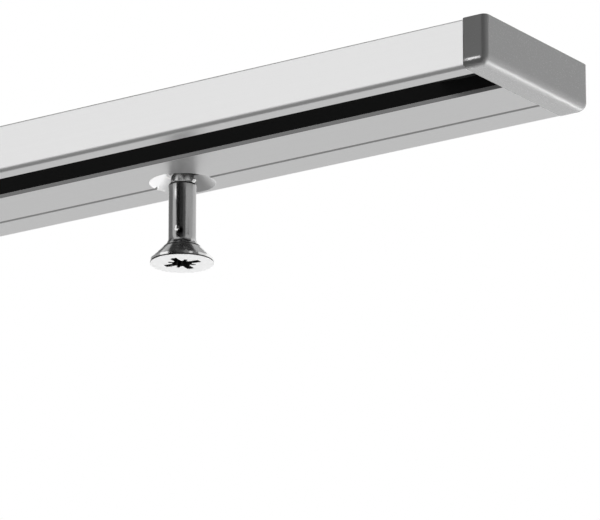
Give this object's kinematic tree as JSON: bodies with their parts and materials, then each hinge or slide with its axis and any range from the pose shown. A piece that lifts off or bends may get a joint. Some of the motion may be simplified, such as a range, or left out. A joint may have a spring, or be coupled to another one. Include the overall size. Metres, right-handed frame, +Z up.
{
  "type": "curtain track",
  "caption": "Flat silver aluminium ceiling curtain track with one slotted inner run, a drill line with countersunk screws, grey plug-in end caps and sliding T-gliders.",
  "frame": {"origin": "on the ceiling face, above the middle of the slot, half way along the rail", "axes": "+X along the rail to the right-hand cap, +Y from the slot towards the screw flange, +Z up into the ceiling"},
  "size_m": [0.6068, 0.0229, 0.02],
  "materials": {
    "rail_aluminium": "satin anodised silver",
    "cap_plastic": "satin grey moulding",
    "screw_steel": "bright zinc plate",
    "glider_plastic": "white moulding"
  },
  "bodies": {
    "track": {"rail": "rail_aluminium", "end_cap_right": "cap_plastic", "end_cap_left": "cap_plastic"},
    "screw_right": {"screw_right": "screw_steel"},
    "screw_left": {"screw_left": "screw_steel"},
    "glider_1": {"glider_1": "glider_plastic"},
    "glider_2": {"glider_2": "glider_plastic"},
    "glider_3": {"glider_3": "glider_plastic"},
    "glider_4": {"glider_4": "glider_plastic"},
    "glider_5": {"glider_5": "glider_plastic"},
    "glider_6": {"glider_6": "glider_plastic"}
  },
  "joints": [
    {"name": "screw_right_drive", "type": "slide", "parent": "track", "child": "screw_right", "axis": [0, 0, 1], "range_m": [0, 0.01025]},
    {"name": "screw_left_drive", "type": "slide", "parent": "track", "child": "screw_left", "axis": [0, 0, 1], "range_m": [0, 0.01025]},
    {"name": "glider_1_run", "type": "slide", "parent": "track", "child": "glider_1", "axis": [1, 0, 0], "range_m": [-0.014, 0.0225]},
    {"name": "glider_2_run", "type": "slide", "parent": "track", "child": "glider_2", "axis": [1, 0, 0], "range_m": [-0.0225, 0.0225]},
    {"name": "glider_3_run", "type": "slide", "parent": "track", "child": "glider_3", "axis": [1, 0, 0], "range_m": [-0.0225, 0.0225]},
    {"name": "glider_4_run", "type": "slide", "parent": "track", "child": "glider_4", "axis": [1, 0, 0], "range_m": [-0.0225, 0.0225]},
    {"name": "glider_5_run", "type": "slide", "parent": "track", "child": "glider_5", "axis": [1, 0, 0], "range_m": [-0.0225, 0.0225]},
    {"name": "glider_6_run", "type": "slide", "parent": "track", "child": "glider_6", "axis": [1, 0, 0], "range_m": [-0.0225, 0.28]}
  ]
}
